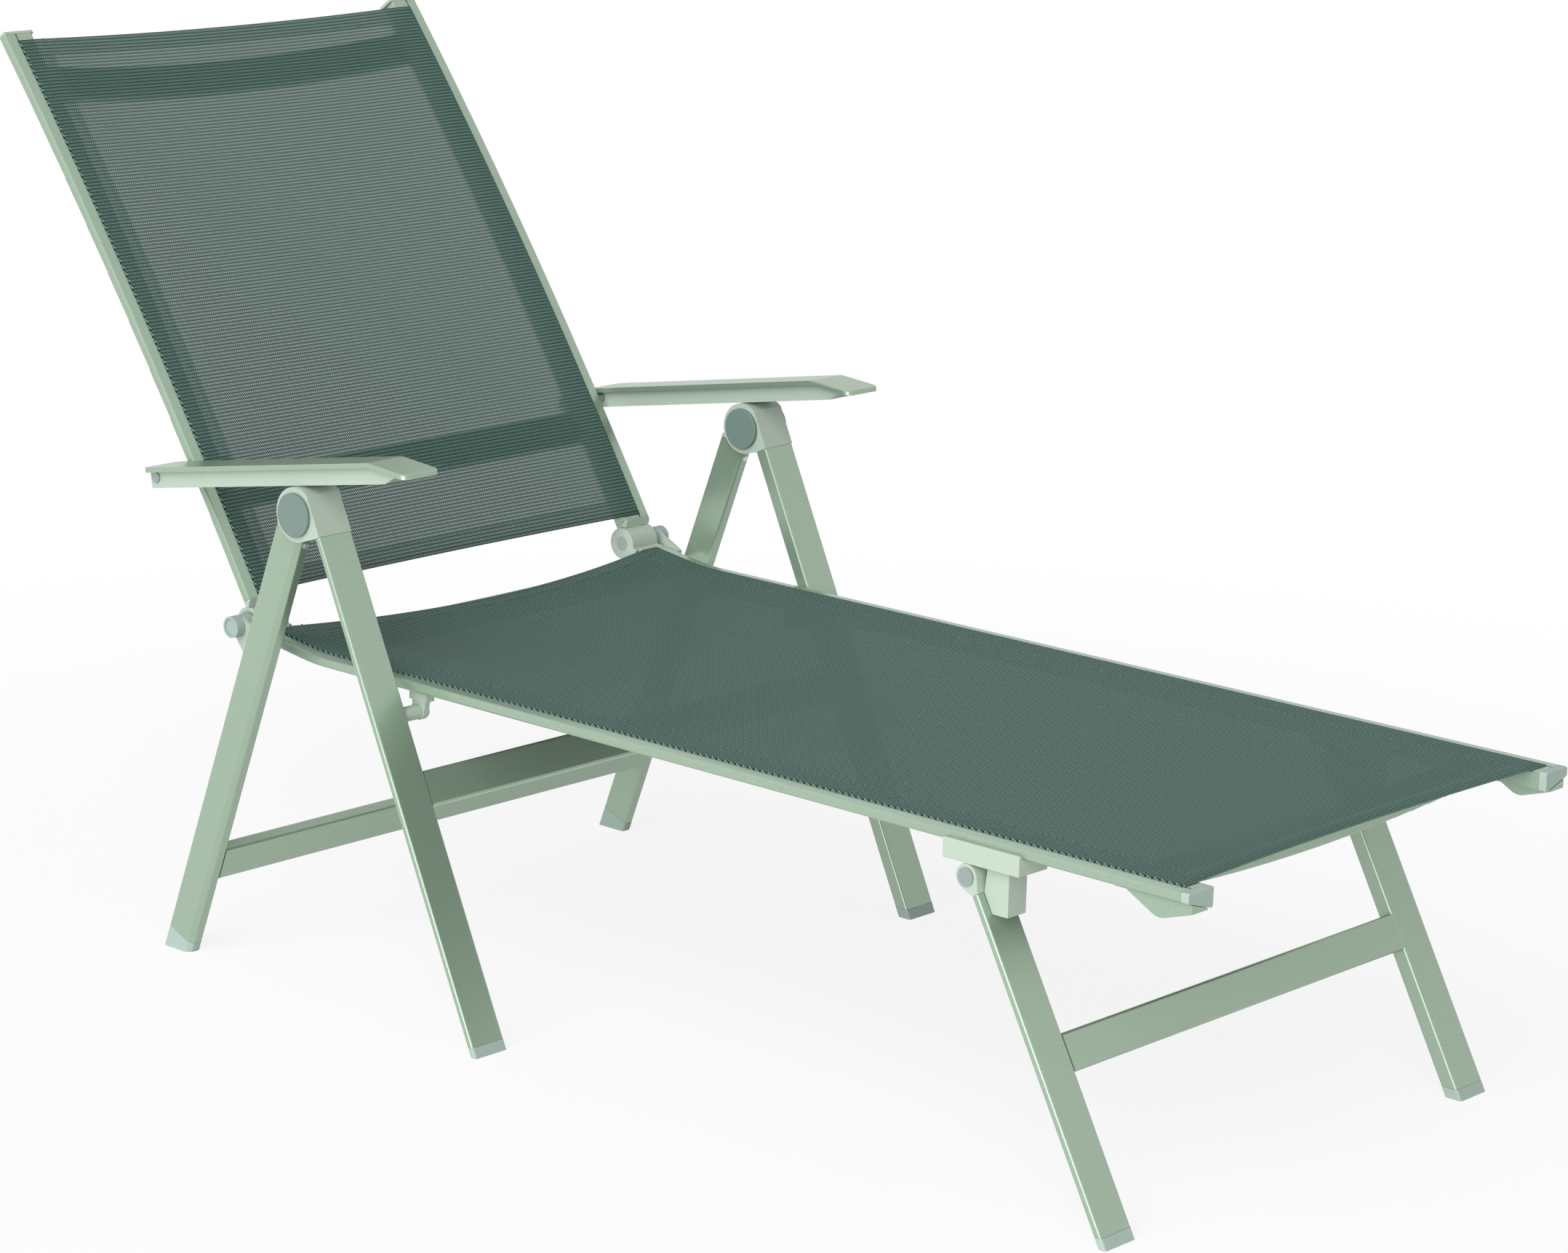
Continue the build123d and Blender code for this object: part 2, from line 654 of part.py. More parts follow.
# Knuckles between the ears, on the lower ends of the back rails
with BuildPart() as back_knuckle:
    neck_plane = line_plane(whole_back)
    neck_front = back_front(back_rail_start)
    neck_top = step(hinge, back_angle, back_rail_start, neck_front - tube_round)
    neck_rear = step(hinge, back_angle, back_rail_start, neck_front - rail_outer_depth)
    extrude(rail_section(neck_plane), amount=-back_rail_start)
    disc(hinge, barrel_radius + barrel_clearance, barrel_inner, rail_outer + fit, mode=Mode.SUBTRACT)
    hull(hinge, barrel_radius, (neck_top, neck_rear), knuckle_inner, knuckle_outer)
    plate((hinge, step(hinge, back_angle - neck_bevel, back_rail_start + rail_width),
           step(hinge, back_angle - neck_bevel - 90, back_rail_start + rail_width)),
          barrel_inner, rail_outer + fit, mode=Mode.SUBTRACT)
    disc(hinge, barrel_radius, knuckle_inner, knuckle_outer)
    extrude(rail_section(neck_plane, tube_wall + fit), amount=stem_length)
    disc(hinge, hinge_bush_radius + running_fit, knuckle_inner, knuckle_outer, mode=Mode.SUBTRACT)
write_pair(back_knuckle, "back_knuckle")

# Crossbars of the back
with BuildPart() as back_upper_crossbar:
    upper_bar = step(hinge, back_angle, upper_bar_station, back_front(upper_bar_station) - back_bar_inset)
    bowed_bar(upper_bar, back_angle, back_angle + 90, back_bar_bow)
write(back_upper_crossbar, "back_upper_crossbar")

with BuildPart() as back_lower_crossbar:
    lower_bar = step(hinge, back_angle, lower_bar_station, back_front(lower_bar_station) - back_bar_inset)
    straight_bar(lower_bar, back_angle, rail_inner)
write(back_lower_crossbar, "back_lower_crossbar")

# Back sling
with BuildPart() as back_sling:
    sling(back_line(back_sling_low, back_length - back_sling_gap))
write(back_sling, "back_sling")

with BuildPart() as back_keder:
    keder(back_line(back_rail_start + stem_length + fit, back_length - back_cap_length - stem_length - fit))
write_group(back_keder, "back_keders")

# Pins on which the armrests turn
with BuildPart() as armrest_pin:
    disc(armrest_pivot, armrest_pin_radius, rail_inner - fit, base_outer + fit)
    disc(armrest_pivot, armrest_nut_radius, rail_inner - fit - armrest_nut_thickness, rail_inner - fit)
    disc(armrest_pivot, sleeve_radius, rail_outer + fit, base_inner - fit)
    disc(armrest_pivot, rivet_radius, base_outer + fit, base_outer + fit + rivet_head)
write_group(armrest_pin, "armrest_pins")

# Armrests: a plate over a channel that lies on the leg heads
def on_armrest(ahead, up):
    """A point of the side view, measured from the armrest's pin along and above the armrest."""
    return step(armrest_pivot, armrest_angle, ahead, -up)


fall_share = (base_nose - armrest_crease) / (armrest_tip - armrest_crease)
plate_under = armrest_top - armrest_plate
with BuildPart() as armrest_plate_left:
    plate((on_armrest(-armrest_rear, plate_under), on_armrest(armrest_crease, plate_under),
           on_armrest(armrest_tip, plate_under - armrest_fall), on_armrest(armrest_tip, armrest_top - armrest_fall),
           on_armrest(armrest_crease, armrest_top), on_armrest(-armrest_rear, armrest_top)),
          armrest_inner, armrest_inner + armrest_width)
    short_edges = armrest_plate_left.edges().filter_by(lambda edge: abs(edge.length - armrest_plate) < fit)
    fillet(short_edges, radius=armrest_side_round)
    fillet(armrest_plate_left.faces().sort_by(Axis.Z)[-1].outer_wire().edges().filter_by(Axis.Y, reverse=True),
           radius=armrest_edge_round)
write_pair(armrest_plate_left, "armrest_top")

with BuildPart() as armrest_base:
    under_plate = plate_under - fit
    plate((on_armrest(-base_rear, -base_depth), on_armrest(base_front, -base_depth),
           on_armrest(base_nose, under_plate - armrest_fall * fall_share), on_armrest(armrest_crease, under_plate),
           on_armrest(-base_rear, under_plate)), base_inner, base_outer)
    plate((on_armrest(base_wall - base_rear, -base_depth - overrun),
           on_armrest(armrest_crease, -base_depth - overrun), on_armrest(armrest_crease, under_plate - base_wall),
           on_armrest(base_wall - base_rear, under_plate - base_wall)),
          base_inner + base_wall, base_outer - base_wall, mode=Mode.SUBTRACT)
    disc(armrest_pivot, armrest_pin_radius + running_fit, base_inner, base_outer, mode=Mode.SUBTRACT)
write_pair(armrest_base, "armrest_base")

# Front legs
with BuildPart() as front_leg:
    leg_tube(front_section, front_seam, front_leg_angle, flat_seam)
    disc(leg_pivot, leg_pin_radius + running_fit, front_leg_inner - fit, front_leg_inner + tube_wall + fit,
         mode=Mode.SUBTRACT)
write_pair(front_leg, "front_leg")

with BuildPart() as front_foot:
    leg_foot(front_section, front_seam, front_leg_angle, flat_seam)
write_pair(front_foot, "front_foot")

lug_slot_inner = rear_leg_inner - lug_gap
lug_slot_outer = rear_leg_outer + lug_gap
with BuildPart() as front_head:
    middle_depth = (front_leg_inner_depth + front_leg_outer_depth) / 2
    for start, end, depth in ((front_leg_inner, lug_slot_inner, front_leg_inner_depth),
                              (lug_slot_inner, lug_slot_outer, middle_depth),
                              (lug_slot_outer, front_leg_outer, front_leg_outer_depth)):
        hull(disc_pivot, head_radius, (front_seam, step(front_seam, front_leg_angle, 0, -depth)), start, end)
    slot_bottom = step(disc_pivot, front_leg_angle, -disc_pivot_up, head_web_rear)
    slot_top = step(disc_pivot, front_leg_angle, disc_pivot_up, head_web_rear)
    plate((slot_bottom, slot_top, step(slot_top, front_leg_angle, 0, -disc_pivot_up),
           step(slot_bottom, front_leg_angle, 0, -disc_pivot_up)), lug_slot_inner, lug_slot_outer,
          mode=Mode.SUBTRACT)
    disc(disc_pivot, rear_lug_radius + lug_gap, lug_slot_inner, lug_slot_outer, mode=Mode.SUBTRACT)
    split(bisect_by=facing(front_face, front_leg_angle), keep=Keep.BOTTOM)
    upper_stem(front_section, front_seam, front_leg_angle)
    disc(disc_pivot, disc_pin_radius + running_fit, front_leg_inner, front_leg_outer, mode=Mode.SUBTRACT)
write_pair(front_head, "front_head")

with BuildPart() as front_crossbar:
    front_bar = step(front_face, front_leg_angle, -front_bar_below, -bar_depth / 2)
    straight_bar(front_bar, front_leg_angle, front_leg_inner)
write(front_crossbar, "front_crossbar")

with BuildPart() as leg_pivot_pin:
    disc(leg_pivot, leg_pin_radius, pivot_plate_inner - fit, front_leg_inner + tube_wall)
    disc(leg_pivot, leg_pin_head, pivot_plate_inner - fit - leg_pin_head_thickness, pivot_plate_inner - fit)
write_group(leg_pivot_pin, "leg_pivot_pins")

with BuildPart() as disc_pin:
    disc(disc_pivot, disc_pin_radius, front_leg_inner - fit - disc_pin_end, front_leg_outer + fit + disc_pin_end)
write_group(disc_pin, "disc_pins")

with BuildPart() as pivot_disc:
    disc(disc_pivot, disc_radius, front_leg_outer + fit, front_leg_outer + fit + disc_thickness)
    fillet(pivot_disc.edges().group_by(Axis.Y)[0], radius=disc_round)
    disc(disc_pivot, disc_radius, front_leg_inner - fit - disc_thickness, front_leg_inner - fit)
    fillet(pivot_disc.edges().group_by(Axis.Y)[-1], radius=disc_round)
    disc(disc_pivot, disc_pin_radius + running_fit, front_leg_inner - fit - disc_pin_end - fit,
         front_leg_outer + fit + disc_pin_end + fit, mode=Mode.SUBTRACT)
write_group(pivot_disc, "pivot_discs")

# Rear legs
screw_center = step(rear_seam, rear_leg_angle, -screw_below_seam)
with BuildPart() as head_screw:
    with BuildSketch(facing(screw_center, rear_leg_angle)) as screw_outline:
        with Locations((0, (rear_leg_inner + rear_leg_outer - rear_leg_bevel) / 2)):
            Circle(screw_radius)
    extrude(amount=screw_head)
    with BuildSketch(facing(screw_center, rear_leg_angle)) as shank_outline:
        with Locations((0, (rear_leg_inner + rear_leg_outer - rear_leg_bevel) / 2)):
            Circle(screw_shank_radius)
    extrude(amount=-screw_length)
write_group(head_screw, "head_screws")

with BuildPart() as screw_hole:
    with BuildSketch(facing(screw_center, rear_leg_angle)) as hole_outline:
        with Locations((0, (rear_leg_inner + rear_leg_outer - rear_leg_bevel) / 2)):
            Circle(screw_shank_radius + running_fit)
    extrude(amount=-screw_length - fit)

with BuildPart() as rear_leg:
    leg_tube(rear_section, rear_seam, rear_leg_angle, slanted_seam)
    add(screw_hole.part, mode=Mode.SUBTRACT)
write_pair(rear_leg, "rear_leg")

with BuildPart() as rear_foot:
    leg_foot(rear_section, rear_seam, rear_leg_angle, slanted_seam)
write_pair(rear_foot, "rear_foot")

with BuildPart() as rear_head:
    hull(disc_pivot, rear_lug_radius, (rear_seam, step(rear_seam, rear_leg_angle, 0, -rear_leg_depth)),
         rear_leg_inner, rear_leg_outer)
    upper_stem(rear_section, rear_seam, rear_leg_angle)
    add(screw_hole.part, mode=Mode.SUBTRACT)
    disc(disc_pivot, disc_pin_radius + running_fit, rear_leg_inner, rear_leg_outer, mode=Mode.SUBTRACT)
write_pair(rear_head, "rear_head")

with BuildPart() as rear_crossbar:
    rear_bar = step(rear_face, rear_leg_angle, -rear_bar_below, -bar_depth / 2)
    straight_bar(rear_bar, rear_leg_angle, rear_leg_inner)
write(rear_crossbar, "rear_crossbar")

# End legs
with BuildPart() as end_leg:
    leg_tube(end_section, end_seam, end_leg_angle, flat_seam)
write_pair(end_leg, "end_leg")

with BuildPart() as end_foot:
    leg_foot(end_section, end_seam, end_leg_angle, flat_seam)
write_pair(end_foot, "end_foot")

eye_slot_inner = lug_inner - lug_gap
eye_slot_outer = lug_outer + lug_gap
with BuildPart() as end_head:
    for start, end, depth in ((end_leg_inner, eye_slot_inner, end_leg_inner_depth),
                              (eye_slot_outer, end_leg_outer, end_leg_outer_depth)):
        hull(end_pivot, eye_radius, (end_seam, step(end_seam, end_leg_angle, 0, -depth)), start, end)
    web_depth = (end_leg_inner_depth + end_leg_outer_depth) / 2
    plate((end_seam, step(end_seam, end_leg_angle, end_seam_below / 2),
           step(end_seam, end_leg_angle, end_seam_below / 2, -web_depth),
           step(end_seam, end_leg_angle, 0, -web_depth)), eye_slot_inner, eye_slot_outer)
    disc(end_pivot, lug_radius + lug_clearance, eye_slot_inner, eye_slot_outer, mode=Mode.SUBTRACT)
    upper_stem(end_section, end_seam, end_leg_angle)
    disc(end_pivot, end_pin_radius + running_fit, end_leg_inner, end_leg_outer, mode=Mode.SUBTRACT)
write_pair(end_head, "end_head")

with BuildPart() as end_crossbar:
    end_bar = step(end_face, end_leg_angle, -end_bar_below, -bar_depth / 2)
    straight_bar(end_bar, end_leg_angle, end_leg_inner)
write(end_crossbar, "end_crossbar")

with BuildPart() as end_pivot_pin:
    disc(end_pivot, end_pin_radius, end_leg_inner - fit, end_leg_outer + fit)
    disc(end_pivot, end_cap_radius, end_leg_inner - fit - end_cap_thickness, end_leg_inner - fit)
    disc(end_pivot, end_cap_radius, end_leg_outer + fit, end_leg_outer + fit + end_cap_thickness)
write_group(end_pivot_pin, "end_pivot_pins")
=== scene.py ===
"""Dresses the folding sun lounger: coated metal, moulded fittings, woven slings and the stage."""

import json
import math

import bpy
from bpy.props import FloatProperty, FloatVectorProperty, PointerProperty, StringProperty
from mathutils import Matrix, Vector


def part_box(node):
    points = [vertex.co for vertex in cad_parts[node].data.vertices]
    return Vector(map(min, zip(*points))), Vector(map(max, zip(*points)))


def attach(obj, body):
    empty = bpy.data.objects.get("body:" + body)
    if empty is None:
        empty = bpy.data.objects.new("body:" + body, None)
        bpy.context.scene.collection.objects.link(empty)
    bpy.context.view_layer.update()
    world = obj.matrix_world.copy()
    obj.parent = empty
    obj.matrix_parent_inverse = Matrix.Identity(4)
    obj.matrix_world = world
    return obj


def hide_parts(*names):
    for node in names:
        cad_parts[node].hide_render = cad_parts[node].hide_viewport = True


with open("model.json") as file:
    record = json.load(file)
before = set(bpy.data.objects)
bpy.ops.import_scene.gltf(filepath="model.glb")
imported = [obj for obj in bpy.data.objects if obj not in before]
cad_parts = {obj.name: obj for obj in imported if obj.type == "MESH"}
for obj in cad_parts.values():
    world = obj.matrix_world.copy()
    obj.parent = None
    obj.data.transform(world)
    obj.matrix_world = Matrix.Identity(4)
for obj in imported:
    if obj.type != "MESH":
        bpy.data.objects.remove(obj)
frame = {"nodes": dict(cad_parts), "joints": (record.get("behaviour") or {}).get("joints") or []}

bl_info = {
    "name": "Folding Sun Lounger",
    "version": (1, 0, 0),
    "blender": (4, 5, 0),
    "location": "View3D > Sidebar > Lounger",
    "description": "Finishes, woven slings and stage for a folding sun lounger",
    "category": "Object",
}

MM = 0.001
WHITE = (1.0, 1.0, 1.0, 1.0)

# Pieces by their finish, without the side in their names
FRAME_NODES = ("seat_rail", "back_rail", "front_leg", "rear_leg", "end_leg", "armrest_top",
               "foot_gussets", "foot_crossbar", "rear_seat_crossbar", "back_upper_crossbar",
               "back_lower_crossbar", "front_crossbar", "rear_crossbar", "end_crossbar")
FITTING_NODES = ("hinge_bracket", "leg_pivot_bracket", "end_leg_bracket", "back_knuckle",
                 "armrest_base", "front_head", "rear_head", "end_head", "back_cap")
FOOT_NODES = ("front_foot", "rear_foot", "end_foot", "seat_rail_cap")
CORD_NODES = ("seat_keders", "back_keders")
PIN_NODES = ("hinge_pins", "hinge_bushes", "leg_pivot_pins", "disc_pins", "armrest_pins",
             "end_pivot_pins")

# Places from the frame
HINGE = next(Vector(joint["pos_m"]) for joint in frame["joints"] if joint["name"] == "back_recline")
SEAT_LOW, SEAT_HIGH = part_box("seat_sling")
SEAT_LENGTH = SEAT_HIGH.x - SEAT_LOW.x
SLING_EDGE = SEAT_HIGH.y
RAIL_INNER = -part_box("seat_rail_left")[1].y

# Lines of the rails that the slings follow
BEND_RUN = 97.5 * MM
BEND_RISE = 13.7 * MM
BEND_RADIUS = 250 * MM
BACK_ANGLE = math.radians(124.8)
BACK_RAIL_START = 20 * MM
BACK_LENGTH = 676 * MM
BACK_FRONT_LOW = 16.8 * MM
BACK_FRONT_TOP = 9.6 * MM
BACK_BOW = 9 * MM

# Shape of the slings: their hems curve in towards the middle, and their edges turn down
CLOTH_GAP = 0.3 * MM
SEAT_REAR_CURVE = 26 * MM
SEAT_FOOT_CURVE = 13 * MM
BACK_HEM_LOW = 24 * MM
BACK_HEM_TOP = 664 * MM
BACK_HEM_CURVE = 3 * MM
BACK_CLOTH_LENGTH = 640 * MM
CLOTH_COLUMNS = 40
CLOTH_STEPS = 72
COLUMN_REACH = 0.999
EDGE_INSET = 0.5 * MM
EDGE_COLUMNS = (2.5 * MM, 1.2 * MM, 0.4 * MM, 0.0)
EDGE_TURN = 1.6 * MM
SLOPE_STEP = 0.01

# Rows of stitches, inset from the hems and from the inner edges of the doubled sides
HEM_STITCH_INSET = 18 * MM
SIDE_STITCH_INSET = 3 * MM
STITCH_REACH = 0.985
HEM_STEPS = 20
SIDE_STEPS = 60

# Drawing of the weave, measured in a loop's cell from its middle: painted light on the loops,
# painted shadow in the gaps
LOOP_SQUEEZE = 1.5
LIGHT_EDGE = (0.2, 0.46)
GAP_SHADOW_EDGE = (0.48, 0.62)

# Light that passes, as shares of a sling's openness: off and on a loop, and where doubled
HOLE_SHARE = (0.5, 3)
DOUBLED_SHARE = 0.4
DOUBLED_BLUR = 1 * MM

# Relief of the surfaces, and how far the flakes lighten and darken the coat
GRAIN_DEPTH = 0.1 * MM
WEAVE_DEPTH = 0.4 * MM
FLAKE_CHANGE = 0.14

# Stage
FLOOR_HALF = 12.0
FLOOR_FADE = (0.9, 2.2)
FLOOR_LIFT = 0.84
FLOOR_SHADE = 1.5
FLOOR_SEEN = "#f6f6f6"
FLOOR_NEAR = "#e8e8e6"
FLOOR_FAR = "#b4b6b6"
KEY_FROM = (0.3, -1.0, 0.7)
KEY_SPREAD = math.radians(60)
STRIP_AT = (1.9, -3.2, 0.9)
STRIP_AIM = (0, 0, 0.4)
STRIP_SIZE = (3.2, 0.9)
SIDE_LIGHT = (1.25, 0.75)
SIDE_LIGHT_EDGE = 0.6
SENSOR_WIDTH = 36
CLIP_END = 50


# Small shared functions

def linear(text):
    """An sRGB hex colour as linear red, green, blue and alpha."""
    parts = [int(text.lstrip("#")[i:i + 2], 16) / 255 for i in (0, 2, 4)]
    return tuple(c / 12.92 if c <= 0.04045 else ((c + 0.055) / 1.055) ** 2.4
                 for c in parts) + (1.0,)


def add_node(tree, kind, settings=None, links=None, **values):
    """Adds a node, sets its properties and its unlinked inputs, and links its other inputs."""
    node = tree.nodes.new(kind)
    for name, value in (settings or {}).items():
        setattr(node, name, value)
    for name, value in values.items():
        place = int(name[1:]) if name[1:].isdigit() else name.replace("_", " ")
        node.inputs[place].default_value = value
    for name, output in (links or {}).items():
        tree.links.new(output, node.inputs[name])
    return node


def new_material(name):
    """An empty material, its node tree and its output."""
    material = bpy.data.materials.new(name)
    material.use_nodes = True
    tree = material.node_tree
    tree.nodes.clear()
    return material, tree, tree.nodes.new("ShaderNodeOutputMaterial")


def finish_nodes(names, material):
    """Gives a material to CAD pieces by their names without the side."""
    for name, node in frame["nodes"].items():
        if name.replace("_left", "").replace("_right", "") in names:
            node.data.materials.clear()
            node.data.materials.append(material)


def linked_object(name, mesh):
    """A new object of a mesh, linked to the scene."""
    obj = bpy.data.objects.new(name, mesh)
    bpy.context.scene.collection.objects.link(obj)
    return obj


def mesh_object(name, points, faces, material, uvs=None):
    """A smooth mesh object in the frame, with UVs in metres by vertex."""
    mesh = bpy.data.meshes.new(name)
    mesh.from_pydata(points, [], faces)
    if uvs:
        layer = mesh.uv_layers.new(name="UVMap")
        for loop in mesh.loops:
            layer.data[loop.index].uv = uvs[loop.vertex_index]
    mesh.materials.append(material)
    mesh.shade_smooth()
    return linked_object(name, mesh)


def background_rays(tree):
    """1 for the rays of the camera, gloss and glass, which see the plain white background."""
    path = add_node(tree, "ShaderNodeLightPath")
    gloss = add_node(tree, "ShaderNodeMath", {"operation": "MAXIMUM"},
                     {0: path.outputs["Is Camera Ray"], 1: path.outputs["Is Glossy Ray"]})
    glass = add_node(tree, "ShaderNodeMath", {"operation": "MAXIMUM"},
                     {0: gloss.outputs[0], 1: path.outputs["Is Transmission Ray"]})
    return glass.outputs[0]


# Sizes and colours that a user would change

class LoungerFinish(bpy.types.PropertyGroup):
    """Colours and surface sizes of the hard parts."""
    metal: StringProperty(
        name="Metal", description="Powder coat on the tubes", default="#9bb09c")
    fitting: StringProperty(
        name="Fittings", description="Moulded heads, brackets and armrest channels",
        default="#aab9ab")
    foot: StringProperty(
        name="Feet", description="Moulded feet and rail ends", default="#9fb2a8")
    disc: StringProperty(
        name="Discs", description="Moulded pivot discs", default="#6d8079")
    knob: StringProperty(
        name="Knobs", description="Moulded hinge knobs", default="#97aaa3")
    cord: StringProperty(
        name="Cords", description="Cords that hold the slings in their slots", default="#58645f")
    pin: StringProperty(
        name="Pins", description="Zinc plate of the pins", default="#9aa6a2")
    screw: StringProperty(
        name="Screws", description="Bright zinc of the small screws", default="#dfe4e0")
    flake: FloatProperty(
        name="Coat grain", description="Size of the powder coat's grain", default=0.6 * MM,
        unit="LENGTH")
    mould: FloatProperty(
        name="Mould grain", description="Size of the moulded pieces' grain", default=0.8 * MM,
        unit="LENGTH")


class LoungerSling(bpy.types.PropertyGroup):
    """Sizes and colours of the woven slings."""
    # thread and shade are lit and shaded copies of the threads' colour: painted light and painted
    # shade
    thread: StringProperty(
        name="Thread", description="Light side of the coated threads", default="#779e93")
    shade: StringProperty(
        name="Shade", description="Shaded side of the threads", default="#39524b")
    # The gap colour is a painted shadow between the threads
    gap: StringProperty(
        name="Gap", description="Gaps between the threads", default="#1a2625")
    sewing: StringProperty(
        name="Sewing thread", description="Thread of the stitches", default="#4f625b")
    row: FloatProperty(
        name="Row", description="Distance between rows of thread", default=3.9 * MM,
        unit="LENGTH")
    loop: FloatProperty(
        name="Loop", description="Distance between loops in a row", default=2.65 * MM,
        unit="LENGTH")
    slant: FloatProperty(
        name="Slant", description="How far a loop leans over its row, in loops", default=-0.5)
    thickness: FloatProperty(
        name="Thickness", description="Thickness of the cloth", default=1.0 * MM, unit="LENGTH")
    seat_openness: FloatProperty(
        name="Seat openness", description="Share of light that passes the seat's cloth",
        default=0.01, subtype="FACTOR")
    back_openness: FloatProperty(
        name="Back openness", description="Share of light that passes the back's cloth",
        default=0.075, subtype="FACTOR")
    margin: FloatProperty(
        name="Side margin", description="Width of the doubled sides", default=36 * MM,
        unit="LENGTH")
    hem: FloatProperty(
        name="Hem", description="Depth of the doubled hems", default=20 * MM, unit="LENGTH")
    seat_sag: FloatProperty(
        name="Seat sag", description="How far the seat hangs at its middle", default=3 * MM,
        unit="LENGTH")
    back_sag: FloatProperty(
        name="Back sag", description="How far the back hangs at its middle", default=4 * MM,
        unit="LENGTH")
    stitch: FloatProperty(
        name="Stitch", description="Length of a stitch", default=3.2 * MM, unit="LENGTH")
    stitch_pitch: FloatProperty(
        name="Stitch pitch", description="From one stitch to the next", default=5 * MM,
        unit="LENGTH")
    stitch_width: FloatProperty(
        name="Stitch width", description="Thickness of the sewing thread", default=0.9 * MM,
        unit="LENGTH")


class LoungerStage(bpy.types.PropertyGroup):
    """Camera and lamps."""
    camera_place: FloatVectorProperty(
        name="Camera", description="Camera position", size=3, subtype="XYZ",
        default=(2.9613, -3.211, 1.463))
    azimuth: FloatProperty(
        name="Azimuth", description="Direction from the lounger to the camera",
        default=math.radians(-47.97), subtype="ANGLE")
    elevation: FloatProperty(
        name="Elevation", description="Camera's height as an angle",
        default=math.radians(13.97), subtype="ANGLE")
    roll: FloatProperty(
        name="Roll", description="Camera's roll", default=math.radians(1.38), subtype="ANGLE")
    lens: FloatProperty(
        name="Lens", description="Focal length on a 36 mm wide sensor", default=103.675)
    ambient: FloatProperty(
        name="Ambient", description="Strength of the light from all round", default=0.38)
    key: FloatProperty(
        name="Key", description="Strength of the main lamp", default=2.5)
    strip: FloatProperty(
        name="Strip", description="Power of the strip light", default=42.0, unit="POWER")


def settings():
    """The scene's finish, sling and stage settings."""
    scene = bpy.context.scene
    return scene.lounger_finish, scene.lounger_sling, scene.lounger_stage


# Materials

def coated_aluminium(colour, grain):
    """Extruded aluminium with a silver powder coat: satin, with a fine grain of metal flakes."""
    # The real flakes are finer: they are drawn as coarse as they need to show
    material, tree, output = new_material("powder_coated_aluminium")
    place = add_node(tree, "ShaderNodeTexCoord")
    noise = add_node(tree, "ShaderNodeTexNoise", links={"Vector": place.outputs["Object"]},
                     Scale=1 / grain, Detail=2.0)
    shown = add_node(tree, "ShaderNodeMapRange", links={"Value": noise.outputs["Fac"]},
                     From_Min=0.3, From_Max=0.7)
    plain = Vector(linear(colour))
    flakes = add_node(tree, "ShaderNodeMix", {"data_type": "RGBA"}, {0: shown.outputs[0]},
                      _6=plain * (1 - FLAKE_CHANGE), _7=plain * (1 + FLAKE_CHANGE))
    bump = add_node(tree, "ShaderNodeBump", links={"Height": noise.outputs["Fac"]},
                    Strength=0.06, Distance=GRAIN_DEPTH)
    shader = add_node(tree, "ShaderNodeBsdfPrincipled",
                      links={"Base Color": flakes.outputs[2], "Normal": bump.outputs["Normal"]},
                      Metallic=0.55, Roughness=0.3)
    tree.links.new(shader.outputs[0], output.inputs[0])
    return material


def moulded_plastic(name, colour, roughness, grain):
    """Injection-moulded polypropylene: even colour, with an eroded grain that dulls the gloss."""
    # The real grain is finer: it is drawn as coarse as it needs to show
    material, tree, output = new_material(name)
    place = add_node(tree, "ShaderNodeTexCoord")
    noise = add_node(tree, "ShaderNodeTexNoise", links={"Vector": place.outputs["Object"]},
                     Scale=1 / grain, Detail=1.0)
    bump = add_node(tree, "ShaderNodeBump", links={"Height": noise.outputs["Fac"]},
                    Strength=0.05, Distance=GRAIN_DEPTH)
    shader = add_node(tree, "ShaderNodeBsdfPrincipled", links={"Normal": bump.outputs["Normal"]},
                      Base_Color=linear(colour), IOR=1.49, Roughness=roughness)
    tree.links.new(shader.outputs[0], output.inputs[0])
    return material


def plated_steel(name, colour):
    """Turned steel with a zinc plate: a grey metal with blurred reflections."""
    material, tree, output = new_material(name)
    shader = add_node(tree, "ShaderNodeBsdfPrincipled", Base_Color=linear(colour), Metallic=0.6,
                      Roughness=0.4)
    tree.links.new(shader.outputs[0], output.inputs[0])
    return material


